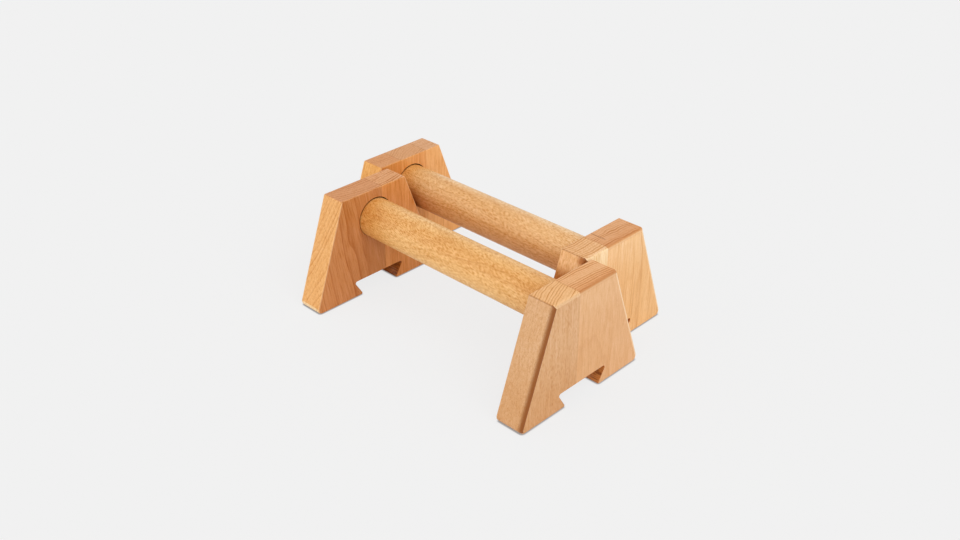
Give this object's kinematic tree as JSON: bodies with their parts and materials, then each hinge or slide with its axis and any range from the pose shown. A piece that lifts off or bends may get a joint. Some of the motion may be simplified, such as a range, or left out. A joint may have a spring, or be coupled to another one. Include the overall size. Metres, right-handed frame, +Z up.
{
  "type": "pair of parallette bars",
  "caption": "Low wooden parallette bars, nested side by side: round beech grips socketed into trapezoid feet with a dovetail notch underneath, for floor handstands and dips.",
  "frame": {"origin": "on the floor, at the middle of the nested pair's outline", "axes": "+X along the grips to the right, +Y from the front bar to the rear bar, +Z up from the floor"},
  "size_m": [0.327, 0.2342, 0.1095],
  "materials": {
    "beech_dowel": "oiled",
    "beech_panel_warm": "oiled",
    "beech_panel_pale": "oiled"
  },
  "bodies": {
    "front_bar": {"front_grip": "beech_dowel", "front_left_foot_near_stave": "beech_panel_warm", "front_left_foot_far_stave": "beech_panel_warm", "front_right_foot_near_stave": "beech_panel_pale", "front_right_foot_far_stave": "beech_panel_pale"},
    "rear_bar": {"rear_grip": "beech_dowel", "rear_left_foot_near_stave": "beech_panel_warm", "rear_left_foot_middle_stave": "beech_panel_warm", "rear_left_foot_far_stave": "beech_panel_warm", "rear_right_foot_near_stave": "beech_panel_pale", "rear_right_foot_far_stave": "beech_panel_pale"}
  },
  "joints": [
    {"name": "bar_spacing", "type": "slide", "parent": "front_bar", "child": "rear_bar", "axis": [0, 1, 0], "range_m": [0, 0.4]}
  ]
}
